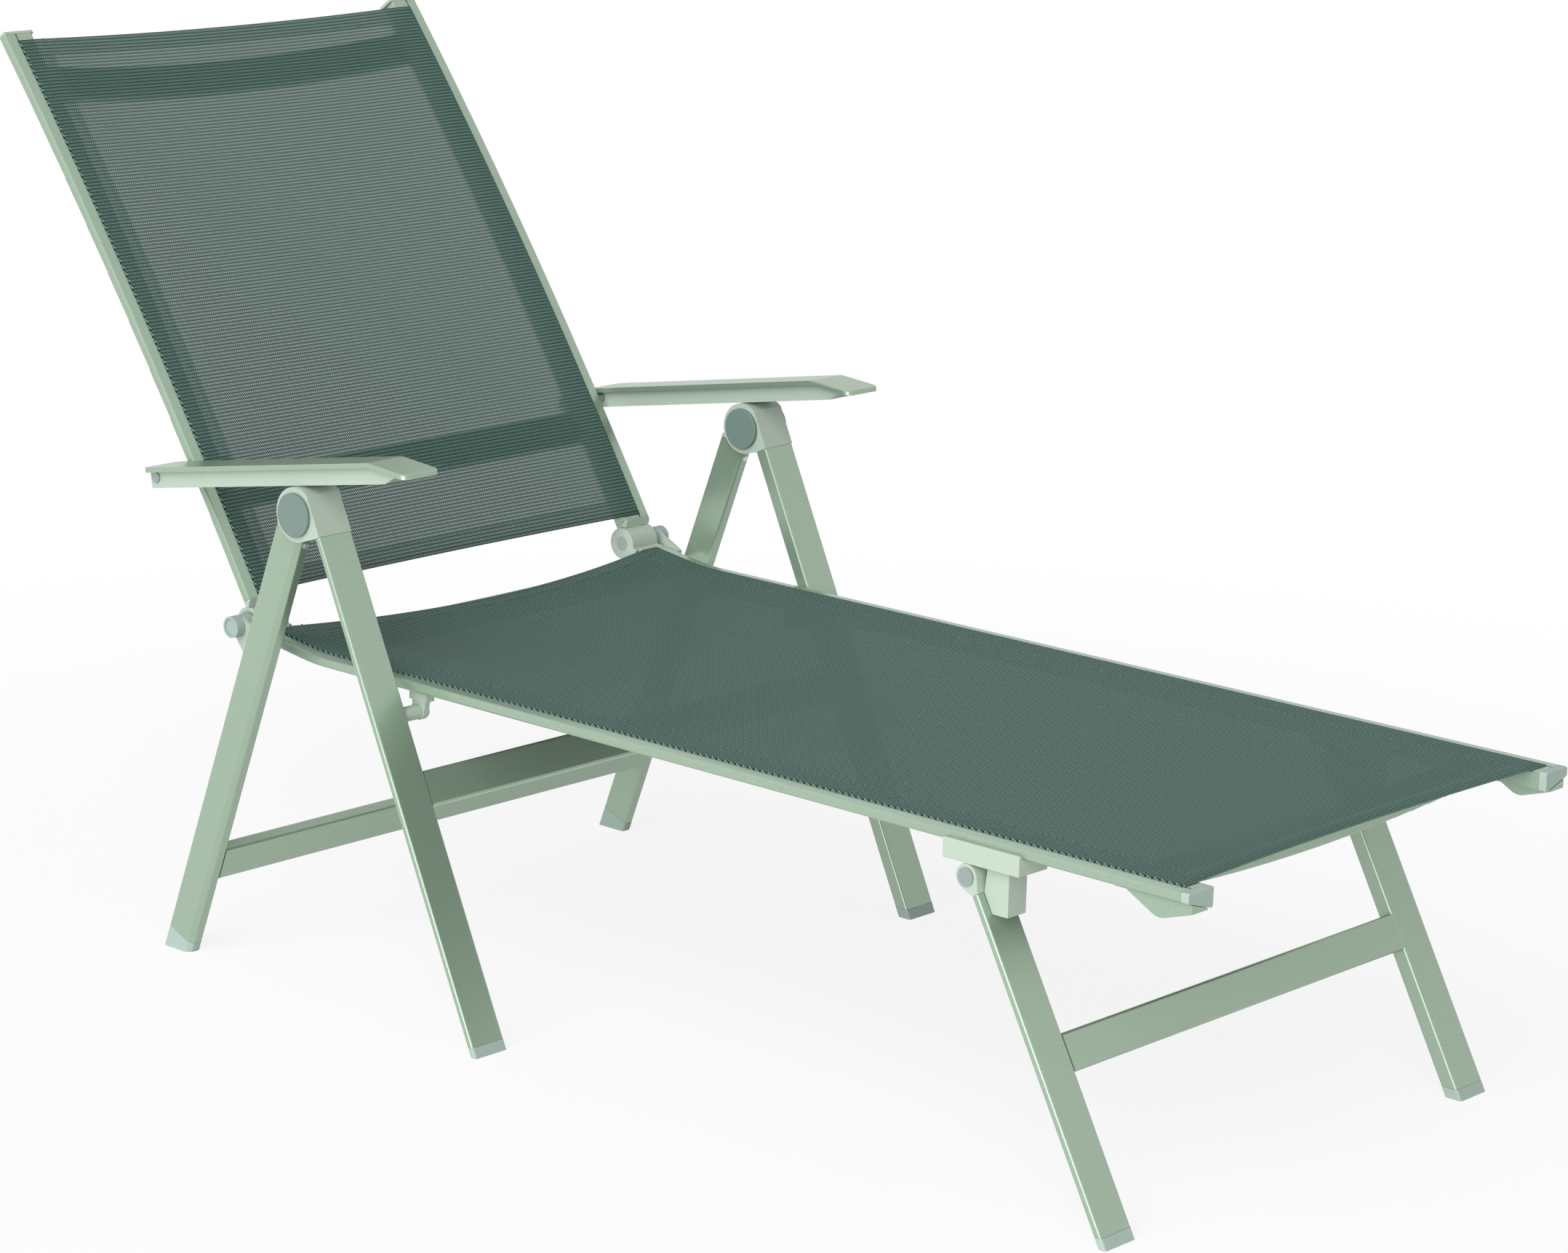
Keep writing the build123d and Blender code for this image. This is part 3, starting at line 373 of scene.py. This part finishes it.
def woven_mesh(name, sling, length, openness):
    """Woven polyester with a PVC coat: matt rows of slanted loops, with painted light on the loops,
    painted shade at their rims and painted shadow in the gaps between them.
    """
    # The real weave is finer: it is drawn as coarse as it needs to show
    material, tree, output = new_material(name)
    uv = add_node(tree, "ShaderNodeUVMap", {"uv_map": "UVMap"})
    axes = add_node(tree, "ShaderNodeSeparateXYZ", links={"Vector": uv.outputs["UV"]})

    # Place in a loop's cell: every row is shifted by half a loop, and each loop leans
    rows = add_node(tree, "ShaderNodeMath", {"operation": "DIVIDE"}, {0: axes.outputs["Y"]},
                    _1=sling.row)
    row = add_node(tree, "ShaderNodeMath", {"operation": "FLOOR"}, {0: rows.outputs[0]})
    up = add_node(tree, "ShaderNodeMath", {"operation": "FRACT"}, {0: rows.outputs[0]})
    shift = add_node(tree, "ShaderNodeMath", {"operation": "MULTIPLY"}, {0: row.outputs[0]},
                     _1=0.5)
    lean = add_node(tree, "ShaderNodeMath", {"operation": "MULTIPLY_ADD"},
                    {0: up.outputs[0], 2: shift.outputs[0]}, _1=sling.slant)
    loops = add_node(tree, "ShaderNodeMath", {"operation": "DIVIDE"}, {0: axes.outputs["X"]},
                     _1=sling.loop)
    place = add_node(tree, "ShaderNodeMath", {"operation": "SUBTRACT"},
                     {0: loops.outputs[0], 1: lean.outputs[0]})
    along = add_node(tree, "ShaderNodeMath", {"operation": "FRACT"}, {0: place.outputs[0]})
    narrow = add_node(tree, "ShaderNodeMath", {"operation": "MULTIPLY_ADD"},
                      {0: along.outputs[0]}, _1=LOOP_SQUEEZE, _2=0.5 - 0.5 * LOOP_SQUEEZE)
    cell = add_node(tree, "ShaderNodeCombineXYZ",
                    links={"X": narrow.outputs[0], "Y": up.outputs[0]})
    away = add_node(tree, "ShaderNodeVectorMath", {"operation": "DISTANCE"},
                    {0: cell.outputs[0]}, _1=(0.5, 0.5, 0.0))

    # Painted light on the loops, painted shade on their rims and painted shadow in the gaps between
    # the threads
    loop = add_node(tree, "ShaderNodeMapRange", {"interpolation_type": "SMOOTHSTEP"},
                    {"Value": away.outputs["Value"]}, From_Min=LIGHT_EDGE[0],
                    From_Max=LIGHT_EDGE[1], To_Min=1.0, To_Max=0.0)
    gap = add_node(tree, "ShaderNodeMapRange", {"interpolation_type": "SMOOTHSTEP"},
                   {"Value": away.outputs["Value"]}, From_Min=GAP_SHADOW_EDGE[0], From_Max=GAP_SHADOW_EDGE[1])
    shaded = add_node(tree, "ShaderNodeMix", {"data_type": "RGBA"}, {0: loop.outputs[0]},
                      _6=linear(sling.shade), _7=linear(sling.thread))
    colour = add_node(tree, "ShaderNodeMix", {"data_type": "RGBA"},
                      {0: gap.outputs[0], 6: shaded.outputs[2]}, _7=linear(sling.gap))

    # Less light passes the doubled sides and hems
    across = add_node(tree, "ShaderNodeMath", {"operation": "ABSOLUTE"}, {0: axes.outputs["X"]})
    side_inner = SLING_EDGE - sling.margin
    side = add_node(tree, "ShaderNodeMapRange", links={"Value": across.outputs[0]},
                    From_Min=side_inner - DOUBLED_BLUR, From_Max=side_inner + DOUBLED_BLUR)
    middle = add_node(tree, "ShaderNodeMath", {"operation": "SUBTRACT"}, {0: axes.outputs["Y"]},
                      _1=length / 2)
    end = add_node(tree, "ShaderNodeMath", {"operation": "ABSOLUTE"}, {0: middle.outputs[0]})
    hem_inner = length / 2 - sling.hem
    hem = add_node(tree, "ShaderNodeMapRange", links={"Value": end.outputs[0]},
                   From_Min=hem_inner - DOUBLED_BLUR, From_Max=hem_inner + DOUBLED_BLUR)
    double = add_node(tree, "ShaderNodeMath", {"operation": "MAXIMUM"},
                      {0: side.outputs[0], 1: hem.outputs[0]})
    doubled = add_node(tree, "ShaderNodeMapRange", links={"Value": double.outputs[0]},
                       To_Min=1.0, To_Max=DOUBLED_SHARE)
    hole = add_node(tree, "ShaderNodeMapRange", links={"Value": loop.outputs[0]},
                    To_Min=openness * HOLE_SHARE[0], To_Max=openness * HOLE_SHARE[1])
    passing = add_node(tree, "ShaderNodeMath", {"operation": "MULTIPLY"},
                       {0: hole.outputs[0], 1: doubled.outputs[0]})

    # Light is stopped where it enters the cloth, and not again where it leaves it
    faces = add_node(tree, "ShaderNodeNewGeometry")
    passed = add_node(tree, "ShaderNodeMath", {"operation": "MAXIMUM"},
                      {0: passing.outputs[0], 1: faces.outputs["Backfacing"]})
    cover = add_node(tree, "ShaderNodeMath", {"operation": "SUBTRACT"}, {1: passed.outputs[0]},
                     _0=1.0)

    bump = add_node(tree, "ShaderNodeBump", links={"Height": loop.outputs[0]}, Strength=0.35,
                    Distance=WEAVE_DEPTH)
    shader = add_node(tree, "ShaderNodeBsdfPrincipled",
                      links={"Base Color": colour.outputs[2], "Alpha": cover.outputs[0],
                             "Normal": bump.outputs["Normal"]}, IOR=1.5, Roughness=0.85)
    tree.links.new(shader.outputs[0], output.inputs[0])
    return material


def sewing_thread(name, colour):
    """Twisted polyester thread: matt, with no gloss to speak of."""
    material, tree, output = new_material(name)
    shader = add_node(tree, "ShaderNodeBsdfPrincipled", Base_Color=linear(colour), Roughness=0.7)
    tree.links.new(shader.outputs[0], output.inputs[0])
    return material


# Lines of the slings

def seat_height(x):
    """Height of the seat rails' tops at a place along the lounger."""
    kink = HINGE.x + BEND_RUN
    slope = BEND_RISE / BEND_RUN
    half = BEND_RADIUS * math.tan(math.atan(slope) / 2)
    flat = HINGE.z - BEND_RISE
    if x >= kink + half:
        return flat
    if x <= kink - half:
        return flat + (kink - x) * slope
    return flat + slope * (kink + half - x) ** 2 / (4 * half)


def back_place(station, ahead):
    """X and Z of a point of the back, some way ahead of the rails' bowed front faces."""
    share = (station - BACK_RAIL_START) / (BACK_LENGTH - BACK_RAIL_START)
    front = (BACK_FRONT_LOW + (BACK_FRONT_TOP - BACK_FRONT_LOW) * share
             + 4 * BACK_BOW * share * (1 - share) + ahead)
    return (HINGE.x + station * math.cos(BACK_ANGLE) + front * math.sin(BACK_ANGLE),
            HINGE.z + station * math.sin(BACK_ANGLE) - front * math.cos(BACK_ANGLE))


def hang(y):
    """Share of the sag: none of it on the rails, all of it at the middle."""
    return max(0.0, 1 - (y / RAIL_INNER) ** 2)


def seat_point(y, share, sling):
    """A point of the seat sling's underside, share 0 at the rear hem and 1 at the foot hem."""
    rear = SEAT_LOW.x + SEAT_REAR_CURVE * hang(y)
    foot = SEAT_HIGH.x - SEAT_FOOT_CURVE * hang(y)
    x = rear + (foot - rear) * share
    return Vector((x, y, seat_height(x) + CLOTH_GAP - sling.seat_sag * hang(y)))


def back_point(y, share, sling):
    """A point of the back sling's rear side, share 0 at the low hem and 1 at the top hem."""
    low = BACK_HEM_LOW + BACK_HEM_CURVE * hang(y)
    top = BACK_HEM_TOP - BACK_HEM_CURVE * hang(y)
    station = low + (top - low) * share
    x, z = back_place(station, CLOTH_GAP - sling.back_sag * hang(y))
    return Vector((x, y, z))


def cloth_normal(point, y, share, sling):
    """The direction square to a sling: up from the seat, rearwards from the back."""
    ahead = (point(y, min(share + SLOPE_STEP, 1.0), sling)
             - point(y, max(share - SLOPE_STEP, 0.0), sling))
    return Vector((-ahead.z, 0, ahead.x)).normalized()


def cloth_columns():
    """Distances from the middle at which the cloth has vertices, closer where its edges turn."""
    inner = [RAIL_INNER * COLUMN_REACH * (2 * i / CLOTH_COLUMNS - 1)
             for i in range(CLOTH_COLUMNS + 1)]
    turn = [SLING_EDGE - EDGE_INSET - inside for inside in EDGE_COLUMNS]
    return [*(-y for y in reversed(turn)), *inner, *turn]


def make_sling(name, point, sling, length, openness, body, cad_node, side):
    """A stretched sheet with its edges turned down into the rails' slots.

    side is 1 or -1 and turns the cloth's normal to the face that is lain on.
    """
    material = woven_mesh(name + "_mesh", sling, length, openness)
    columns = cloth_columns()
    wide = len(columns)
    points, faces, uvs = [], [], []
    for i in range(CLOTH_STEPS + 1):
        share = i / CLOTH_STEPS
        outward = cloth_normal(point, 0.0, share, sling) * side
        for j, y in enumerate(columns):
            place = point(y, share, sling)
            if j in (0, wide - 1):
                place = place - outward * EDGE_TURN
            points.append(place)
            uvs.append((y, share * length))
    for i in range(CLOTH_STEPS):
        for j in range(wide - 1):
            a = i * wide + j
            quad = (a, a + 1, a + wide + 1, a + wide)
            faces.append(quad if side < 0 else quad[::-1])
    obj = mesh_object(name, points, faces, material, uvs)
    thick = obj.modifiers.new("thickness", "SOLIDIFY")
    thick.thickness = sling.thickness
    thick.offset = 1.0
    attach(obj, body)
    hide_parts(cad_node)


# Stitches

def line_object(name, lines):
    """A loose-edge mesh that follows some lines."""
    mesh = bpy.data.meshes.new(name)
    points, edges = [], []
    for line in lines:
        start = len(points)
        points.extend(line)
        edges.extend((start + i, start + i + 1) for i in range(len(line) - 1))
    mesh.from_pydata(points, edges, [])
    return linked_object(name, mesh)


def stitch_tree():
    """Geometry nodes that lay short straight strokes along lines."""
    tree = bpy.data.node_groups.new("stitch_rows", "GeometryNodeTree")
    face = tree.interface
    face.new_socket(name="Geometry", in_out="INPUT", socket_type="NodeSocketGeometry")
    for label in ("Pitch", "Length", "Width"):
        face.new_socket(name=label, in_out="INPUT", socket_type="NodeSocketFloat")
    face.new_socket(name="Material", in_out="INPUT", socket_type="NodeSocketMaterial")
    face.new_socket(name="Geometry", in_out="OUTPUT", socket_type="NodeSocketGeometry")
    given = add_node(tree, "NodeGroupInput")
    radius = add_node(tree, "ShaderNodeMath", {"operation": "DIVIDE"},
                      {0: given.outputs["Width"]}, _1=2.0)
    stroke = add_node(tree, "GeometryNodeMeshCylinder", {"fill_type": "TRIANGLE_FAN"},
                      {"Radius": radius.outputs[0], "Depth": given.outputs["Length"]},
                      Vertices=6)
    curve = add_node(tree, "GeometryNodeMeshToCurve", links={"Mesh": given.outputs["Geometry"]})
    dots = add_node(tree, "GeometryNodeCurveToPoints", {"mode": "LENGTH"},
                    {"Curve": curve.outputs["Curve"], "Length": given.outputs["Pitch"]})
    placed = add_node(tree, "GeometryNodeInstanceOnPoints",
                      links={"Points": dots.outputs["Points"],
                             "Instance": stroke.outputs["Mesh"],
                             "Rotation": dots.outputs["Rotation"]})
    real = add_node(tree, "GeometryNodeRealizeInstances",
                    links={"Geometry": placed.outputs["Instances"]})
    painted = add_node(tree, "GeometryNodeSetMaterial",
                       links={"Geometry": real.outputs["Geometry"],
                              "Material": given.outputs["Material"]})
    done = add_node(tree, "NodeGroupOutput")
    tree.links.new(painted.outputs["Geometry"], done.inputs["Geometry"])
    return tree


def sew_rows(name, lines, tree, sizes, body):
    """Runs the stitch nodes on some lines and keeps the result as a plain mesh on a body."""
    base = line_object(name + "_lines", lines)
    modifier = base.modifiers.new("strokes", "NODES")
    modifier.node_group = tree
    for item in tree.interface.items_tree:
        if item.in_out == "INPUT" and item.name in sizes:
            modifier[item.identifier] = sizes[item.name]
    bpy.context.view_layer.update()
    depsgraph = bpy.context.evaluated_depsgraph_get()
    mesh = bpy.data.meshes.new_from_object(base.evaluated_get(depsgraph))
    mesh.name = name
    bpy.data.objects.remove(base)
    obj = linked_object(name, mesh)
    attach(obj, body)


def hem_lines(point, sling, lift, length):
    """A line beside each hem of a sling, lifted from it."""
    reach = RAIL_INNER * STITCH_REACH
    lines = []
    for share in (HEM_STITCH_INSET / length, 1 - HEM_STITCH_INSET / length):
        raised = cloth_normal(point, 0.0, share, sling) * lift
        lines.append([point(reach * (i / HEM_STEPS - 1), share, sling) + raised
                      for i in range(2 * HEM_STEPS + 1)])
    return lines


def side_lines(point, sling, lift):
    """A line along each side margin of a sling, lifted from it."""
    inset = SLING_EDGE - sling.margin + SIDE_STITCH_INSET
    lines = []
    for y in (-inset, inset):
        shares = [i / SIDE_STEPS for i in range(SIDE_STEPS + 1)]
        lines.append([point(y, share, sling) + cloth_normal(point, y, share, sling) * lift
                      for share in shares])
    return lines


def seat_top(place, sling):
    """The place on the seat cloth's upper face straight above a point."""
    height = (seat_height(place.x) + CLOTH_GAP + sling.thickness
              - sling.seat_sag * hang(place.y))
    return Vector((place.x, place.y, height))


# Operators

class OBJECT_OT_lounger_metal(bpy.types.Operator):
    """Gives the tubes, crossbars and armrest plates their powder coat"""
    bl_idname = "object.lounger_metal"
    bl_label = "Coated metal"

    def execute(self, context):
        finish, _, _ = settings()
        finish_nodes(FRAME_NODES, coated_aluminium(finish.metal, finish.flake))
        return {"FINISHED"}


class OBJECT_OT_lounger_fittings(bpy.types.Operator):
    """Gives the moulded fittings, feet, discs, knobs, cords, pins and screws their finishes"""
    bl_idname = "object.lounger_fittings"
    bl_label = "Fittings"

    def execute(self, context):
        finish, _, _ = settings()
        for names, label, colour, roughness in (
                (FITTING_NODES, "moulded_fittings", finish.fitting, 0.5),
                (FOOT_NODES, "moulded_feet", finish.foot, 0.6),
                (("pivot_discs",), "moulded_discs", finish.disc, 0.45),
                (("hinge_knobs",), "moulded_knobs", finish.knob, 0.5),
                (CORD_NODES, "extruded_cords", finish.cord, 0.6)):
            finish_nodes(names, moulded_plastic(label, colour, roughness, finish.mould))
        finish_nodes(PIN_NODES, plated_steel("zinc_plated_pins", finish.pin))
        finish_nodes(("head_screws",), plated_steel("bright_zinc_screws", finish.screw))
        return {"FINISHED"}


class OBJECT_OT_lounger_seat_sling(bpy.types.Operator):
    """Makes the seat's woven sling"""
    bl_idname = "object.lounger_seat_sling"
    bl_label = "Seat sling"

    def execute(self, context):
        _, sling, _ = settings()
        make_sling("seat_sling_cloth", seat_point, sling, SEAT_LENGTH, sling.seat_openness,
                   "seat", "seat_sling", 1)
        return {"FINISHED"}


class OBJECT_OT_lounger_back_sling(bpy.types.Operator):
    """Makes the back's woven sling"""
    bl_idname = "object.lounger_back_sling"
    bl_label = "Back sling"

    def execute(self, context):
        _, sling, _ = settings()
        make_sling("back_sling_cloth", back_point, sling, BACK_CLOTH_LENGTH,
                   sling.back_openness, "backrest", "back_sling", -1)
        return {"FINISHED"}


class OBJECT_OT_lounger_stitches(bpy.types.Operator):
    """Sews the hems and sides of both slings"""
    bl_idname = "object.lounger_stitches"
    bl_label = "Stitches"

    def execute(self, context):
        _, sling, _ = settings()
        tree = stitch_tree()
        sizes = {"Pitch": sling.stitch_pitch, "Length": sling.stitch,
                 "Width": sling.stitch_width,
                 "Material": sewing_thread("polyester_sewing_thread", sling.sewing)}
        # The seat's rows lie on its upper face, the back's on its rear face
        lift = sling.thickness
        seat = (hem_lines(seat_point, sling, -lift, SEAT_LENGTH)
                + side_lines(seat_point, sling, -lift))
        seat = [[seat_top(place, sling) for place in line] for line in seat]
        back = (hem_lines(back_point, sling, lift, BACK_CLOTH_LENGTH)
                + side_lines(back_point, sling, lift))
        sew_rows("seat_sling_stitches", seat, tree, sizes, "seat")
        sew_rows("back_sling_stitches", back, tree, sizes, "backrest")
        return {"FINISHED"}


class OBJECT_OT_lounger_stage(bpy.types.Operator):
    """Sets the floor, the lamps and the camera"""
    bl_idname = "object.lounger_stage"
    bl_label = "Stage"

    def execute(self, context):
        _, _, stage = settings()
        scene = context.scene
        scene.view_settings.view_transform = "Standard"
        self.floor()
        self.world(scene, stage)
        self.lamps(stage)
        self.camera(scene, stage)
        return {"FINISHED"}

    def floor(self):
        """Smooth white studio vinyl that brightens to pure white away from the lounger."""
        material, tree, output = new_material("white_studio_vinyl")
        place = add_node(tree, "ShaderNodeTexCoord")
        away = add_node(tree, "ShaderNodeVectorMath", {"operation": "LENGTH"},
                        {0: place.outputs["Object"]})
        fade = add_node(tree, "ShaderNodeMapRange", {"interpolation_type": "SMOOTHSTEP"},
                        {"Value": away.outputs["Value"]}, From_Min=FLOOR_FADE[0],
                        From_Max=FLOOR_FADE[1])
        paint = add_node(tree, "ShaderNodeBsdfPrincipled", Base_Color=linear(FLOOR_SEEN),
                         Roughness=0.9)
        glow = add_node(tree, "ShaderNodeEmission", Color=WHITE, Strength=1.0)
        lift = add_node(tree, "ShaderNodeMapRange", links={"Value": fade.outputs[0]},
                        To_Min=FLOOR_LIFT, To_Max=1.0)
        seen = add_node(tree, "ShaderNodeMixShader",
                        links={0: lift.outputs[0], 1: paint.outputs[0], 2: glow.outputs[0]})

        # Soft light bounces from a paler near side and a greyer far side
        axes = add_node(tree, "ShaderNodeSeparateXYZ", links={"Vector": place.outputs["Object"]})
        far = add_node(tree, "ShaderNodeMapRange", {"interpolation_type": "SMOOTHSTEP"},
                       {"Value": axes.outputs["Y"]}, From_Min=0.0, From_Max=FLOOR_SHADE)
        tone = add_node(tree, "ShaderNodeMix", {"data_type": "RGBA"}, {0: far.outputs[0]},
                        _6=linear(FLOOR_NEAR), _7=linear(FLOOR_FAR))
        dull = add_node(tree, "ShaderNodeBsdfDiffuse", links={"Color": tone.outputs[2]})
        mixed = add_node(tree, "ShaderNodeMixShader",
                         links={0: background_rays(tree), 1: dull.outputs[0],
                                2: seen.outputs[0]})
        tree.links.new(mixed.outputs[0], output.inputs[0])
        half = FLOOR_HALF
        floor = mesh_object(
            "floor", [(-half, -half, 0), (half, -half, 0), (half, half, 0), (-half, half, 0)],
            [(0, 1, 2, 3)], material)

    def world(self, scene, stage):
        """Soft light, fullest from the near side, and a plain white background."""
        world = bpy.data.worlds.new("studio")
        scene.world = world
        world.use_nodes = True
        tree = world.node_tree
        tree.nodes.clear()
        output = tree.nodes.new("ShaderNodeOutputWorld")
        toward = add_node(tree, "ShaderNodeTexCoord")
        axes = add_node(tree, "ShaderNodeSeparateXYZ",
                        links={"Vector": toward.outputs["Generated"]})
        level = add_node(tree, "ShaderNodeMapRange", links={"Value": axes.outputs["Y"]},
                         From_Min=-SIDE_LIGHT_EDGE, From_Max=SIDE_LIGHT_EDGE,
                         To_Min=SIDE_LIGHT[0] * stage.ambient,
                         To_Max=SIDE_LIGHT[1] * stage.ambient)
        around = add_node(tree, "ShaderNodeBackground", links={"Strength": level.outputs[0]},
                          Color=WHITE)
        white = add_node(tree, "ShaderNodeBackground", Color=WHITE, Strength=1.0)
        mixed = add_node(tree, "ShaderNodeMixShader",
                         links={0: background_rays(tree), 1: around.outputs[0],
                                2: white.outputs[0]})
        tree.links.new(mixed.outputs[0], output.inputs[0])

    def lamps(self, stage):
        """A broad key lamp from the near side, and a strip light that draws lines on edges."""
        lamp = bpy.data.lights.new("key_lamp", "SUN")
        lamp.energy = stage.key
        lamp.angle = KEY_SPREAD
        key = linked_object("key_lamp", lamp)
        key.rotation_euler = Vector(KEY_FROM).to_track_quat("Z", "Y").to_euler()
        # The key only shades: gloss sees the strip and the white surroundings
        key.visible_glossy = False

        lamp = bpy.data.lights.new("strip_lamp", "AREA")
        lamp.shape = "RECTANGLE"
        lamp.size, lamp.size_y = STRIP_SIZE
        lamp.energy = stage.strip
        strip = linked_object("strip_lamp", lamp)
        strip.location = STRIP_AT
        aim = Vector(STRIP_AT) - Vector(STRIP_AIM)
        strip.rotation_euler = aim.to_track_quat("Z", "Y").to_euler()

    def camera(self, scene, stage):
        """The photograph's camera, solved from its perspective."""
        az, el, roll = stage.azimuth, stage.elevation, stage.roll
        back = Vector((math.cos(az) * math.cos(el), math.sin(az) * math.cos(el), math.sin(el)))
        level = (-back).cross(Vector((0, 0, 1))).normalized()
        upright = level.cross(-back).normalized()
        right = level * math.cos(roll) + upright * math.sin(roll)
        up = upright * math.cos(roll) - level * math.sin(roll)
        data = bpy.data.cameras.new("camera")
        data.sensor_width = SENSOR_WIDTH
        data.lens = stage.lens
        data.clip_end = CLIP_END
        obj = linked_object("camera", data)
        turned = Matrix((right, up, back)).transposed().to_4x4()
        obj.matrix_world = Matrix.Translation(Vector(stage.camera_place)) @ turned
        scene.camera = obj


class VIEW3D_PT_lounger(bpy.types.Panel):
    """Lists the lounger's settings and steps."""
    bl_label = "Sun Lounger"
    bl_idname = "VIEW3D_PT_lounger"
    bl_space_type = "VIEW_3D"
    bl_region_type = "UI"
    bl_category = "Lounger"

    def draw(self, context):
        for group in settings():
            for name in type(group).__annotations__:
                self.layout.prop(group, name)
        for operator in OPERATORS:
            self.layout.operator(operator.bl_idname)


GROUPS = (LoungerFinish, LoungerSling, LoungerStage)
OPERATORS = (OBJECT_OT_lounger_metal, OBJECT_OT_lounger_fittings, OBJECT_OT_lounger_seat_sling,
             OBJECT_OT_lounger_back_sling, OBJECT_OT_lounger_stitches, OBJECT_OT_lounger_stage)


def register():
    """Registers the classes and gives the scene the lounger's settings."""
    for cls in (*GROUPS, *OPERATORS, VIEW3D_PT_lounger):
        bpy.utils.register_class(cls)
    bpy.types.Scene.lounger_finish = PointerProperty(type=LoungerFinish)
    bpy.types.Scene.lounger_sling = PointerProperty(type=LoungerSling)
    bpy.types.Scene.lounger_stage = PointerProperty(type=LoungerStage)


def unregister():
    """Takes the settings and the classes away again."""
    del bpy.types.Scene.lounger_stage
    del bpy.types.Scene.lounger_sling
    del bpy.types.Scene.lounger_finish
    for cls in reversed((*GROUPS, *OPERATORS, VIEW3D_PT_lounger)):
        bpy.utils.unregister_class(cls)


def main():
    """Builds the lounger: registers its settings, then runs its steps."""
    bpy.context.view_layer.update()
    register()
    bpy.ops.object.lounger_metal()
    bpy.ops.object.lounger_fittings()
    bpy.ops.object.lounger_seat_sling()
    bpy.ops.object.lounger_back_sling()
    bpy.ops.object.lounger_stitches()
    bpy.ops.object.lounger_stage()


if __name__ == "__main__":
    main()
